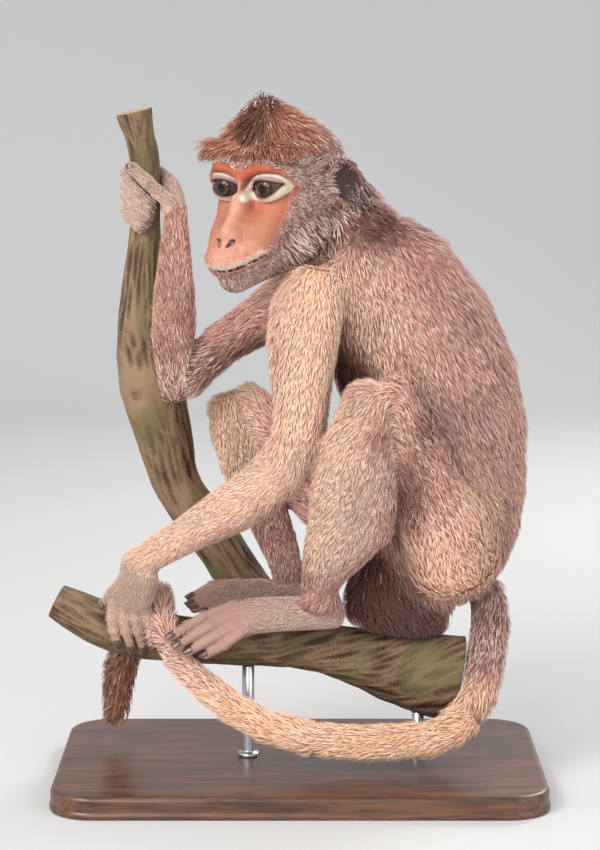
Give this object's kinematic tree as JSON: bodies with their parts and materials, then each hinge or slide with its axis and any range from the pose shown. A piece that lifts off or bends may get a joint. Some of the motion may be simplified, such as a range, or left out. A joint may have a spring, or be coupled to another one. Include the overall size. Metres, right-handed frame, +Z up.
{
  "type": "toque macaque monkey",
  "caption": "Life-size still model of a toque macaque, sitting on a forked branch that both hands grip, on a flat display stand.",
  "frame": {"origin": "the middle of the underside of the display stand", "axes": "+Z up; the animal's body faces -X and a little towards -Y, with its left side on the -Y side; its head is turned further towards -Y"},
  "size_m": [0.3995, 0.244, 0.5549],
  "materials": {
    "coat": "fur of warm grey-brown, in short overlapping tufts",
    "tail": "fur with longer grey-tipped hairs along the edges and a dark brush at the tip",
    "skin": "bare, finely creased pink-brown skin of hands, feet and face",
    "ear": "thin dark bare skin with a fringe of hair",
    "eye": "wet, glossy, dark brown",
    "nail": "smooth dark horn",
    "bark": "weathered olive-brown bark with pale cut ends",
    "base": "dark stained wood under satin varnish",
    "steel": "plain brushed rod"
  },
  "bodies": {
    "root": {"head": "coat", "eye_left": "eye", "eye_right": "eye", "ear_left": "ear", "ear_right": "ear", "neck": "coat", "trunk": "coat", "arm_upper_left": "coat", "forearm_left": "coat", "hand_left": "skin", "arm_upper_right": "coat", "forearm_right": "coat", "hand_right": "skin", "thigh_left": "coat", "shin_left": "coat", "foot_left": "skin", "thigh_right": "coat", "shin_right": "coat", "foot_right": "skin", "tail_1": "tail", "tail_2": "tail", "tail_3": "tail", "tail_4": "tail", "tail_5": "tail", "perch_branch": "bark", "perch_limb": "bark", "stand_base": "base", "stand_rod_rear": "steel", "stand_rod_front": "steel"}
  },
  "joints": []
}
